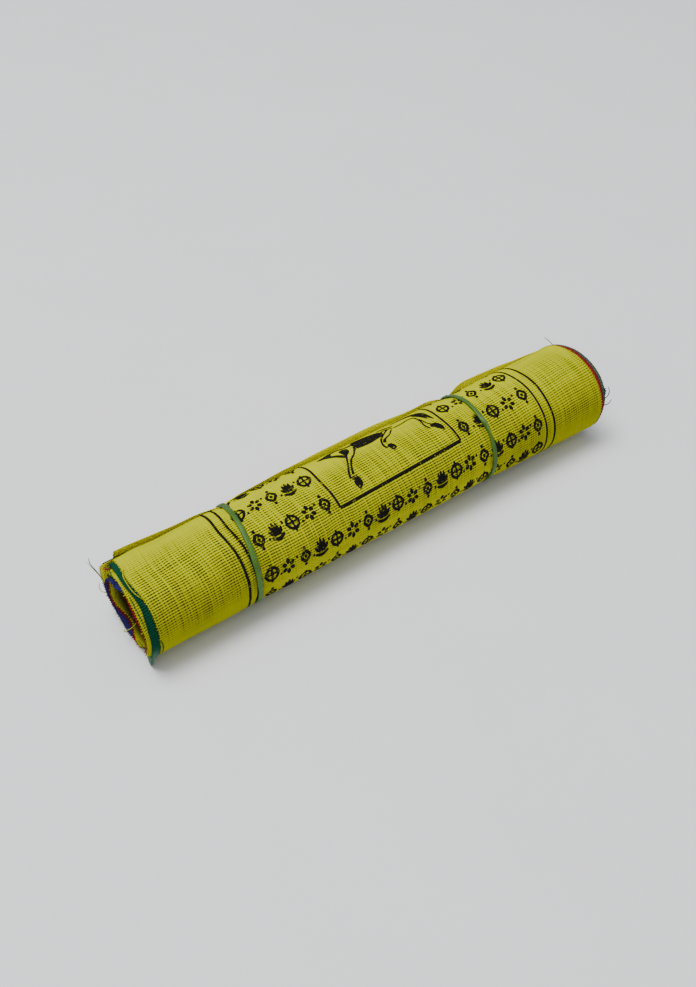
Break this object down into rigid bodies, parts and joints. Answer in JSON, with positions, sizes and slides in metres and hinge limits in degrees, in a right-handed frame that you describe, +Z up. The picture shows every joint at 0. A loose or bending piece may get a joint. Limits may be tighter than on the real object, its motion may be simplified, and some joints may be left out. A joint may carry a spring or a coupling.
{
  "type": "roll of prayer flags",
  "caption": "Roll of thin printed cotton prayer flags wound on each other round an open core, lying on its side, held by rubber bands.",
  "frame": {"origin": "on the surface that the roll lies on, under the middle of the part's bounding box", "axes": "+X along the roll, from the end where the inner turns stand out to the end where they lie back; +Y to the back, where the free edge of the outer flag is; +Z up"},
  "size_m": [0.207, 0.0402, 0.0349],
  "materials": {
    "yellow_cotton": "coarse plain weave, matte",
    "green_cotton": "coarse plain weave, matte",
    "blue_cotton": "coarse plain weave, matte",
    "red_cotton": "coarse plain weave, matte",
    "green_rubber": "satin"
  },
  "bodies": {
    "root": {"flag_roll": "yellow_cotton", "green_flag_left_edge": "green_cotton", "blue_flag_left_edge": "blue_cotton", "red_flag_right_edge": "red_cotton", "green_flag_right_edge": "green_cotton", "rubber_band_left": "green_rubber", "rubber_band_right": "green_rubber"}
  },
  "joints": []
}
